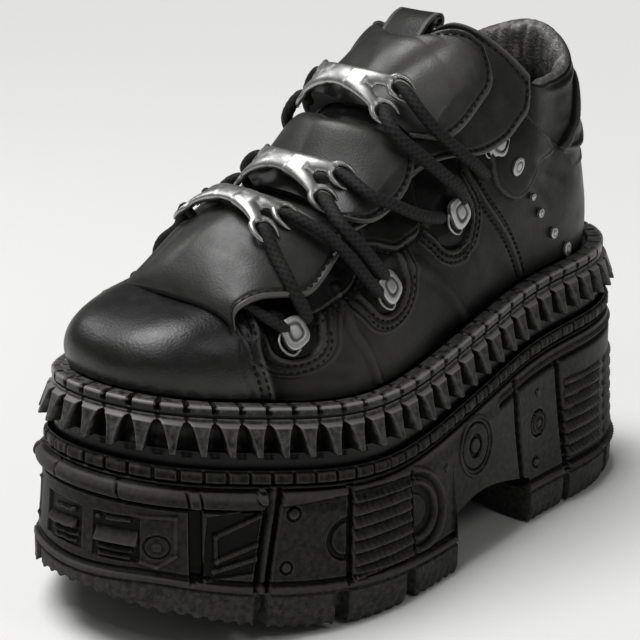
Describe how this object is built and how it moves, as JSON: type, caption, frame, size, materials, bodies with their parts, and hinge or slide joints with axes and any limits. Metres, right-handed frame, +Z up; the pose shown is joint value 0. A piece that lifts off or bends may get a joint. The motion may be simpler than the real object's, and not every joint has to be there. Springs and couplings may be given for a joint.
{
  "type": "platform boot",
  "caption": "Low black leather platform boot for the left foot: metal lace bridges over padded flaps, and a tall moulded sole with a toothed midsole and an arch.",
  "frame": {"origin": "middle of the bounding box at the floor, under the boot", "axes": "-Y towards the toe, +Y towards the heel, +X the wearer's left (outer side of the foot), +Z up"},
  "size_m": [0.133, 0.3073, 0.2132],
  "materials": {
    "tread_rubber": "black moulded rubber, matte, fine grain",
    "platform_rubber": "black moulded rubber, satin on the rolled edges",
    "midsole_rubber": "black moulded rubber, dusty matte",
    "welt_rubber": "black rubber with worn, paler tooth edges",
    "upper_leather": "black leather, smooth at the toe cap, fine grain on the quarters",
    "flap_leather": "black smooth leather, satin sheen",
    "tongue_leather": "black grained leather, stitched edge",
    "collar_lining": "black grained lining leather, gathered into wrinkles",
    "insole_fabric": "dark grey lining cloth",
    "metal": "silver castings, satin with bright edges",
    "lace_cord": "black round woven lace"
  },
  "bodies": {
    "root": {"outsole_forefoot": "tread_rubber", "outsole_heel": "tread_rubber", "platform": "platform_rubber", "cog_midsole": "midsole_rubber", "welt": "welt_rubber", "upper": "upper_leather", "heel_counter": "upper_leather", "toe_flap": "flap_leather", "instep_flap": "flap_leather", "ankle_flap": "flap_leather", "tongue": "tongue_leather", "pull_loop": "tongue_leather", "collar_pad": "collar_lining", "insole": "insole_fabric", "bridge_toe": "metal", "bridge_instep": "metal", "bridge_ankle": "metal", "eyelet_lateral_1": "metal", "eyelet_lateral_2": "metal", "eyelet_lateral_3": "metal", "eyelet_lateral_4": "metal", "eyelet_medial_1": "metal", "eyelet_medial_2": "metal", "eyelet_medial_3": "metal", "eyelet_medial_4": "metal", "tab_stud_lateral": "metal", "tab_stud_medial": "metal", "heel_stud_lateral_1": "metal", "heel_stud_lateral_2": "metal", "heel_stud_lateral_3": "metal", "heel_stud_lateral_4": "metal", "heel_stud_medial_1": "metal", "heel_stud_medial_2": "metal", "heel_stud_medial_3": "metal", "heel_stud_medial_4": "metal", "lace_lateral_1": "lace_cord", "lace_lateral_2": "lace_cord", "lace_lateral_3": "lace_cord", "lace_lateral_4": "lace_cord", "lace_lateral_5": "lace_cord", "lace_lateral_6": "lace_cord", "lace_medial_1": "lace_cord", "lace_medial_2": "lace_cord", "lace_medial_3": "lace_cord", "lace_medial_4": "lace_cord", "lace_medial_5": "lace_cord", "lace_medial_6": "lace_cord"}
  },
  "joints": []
}
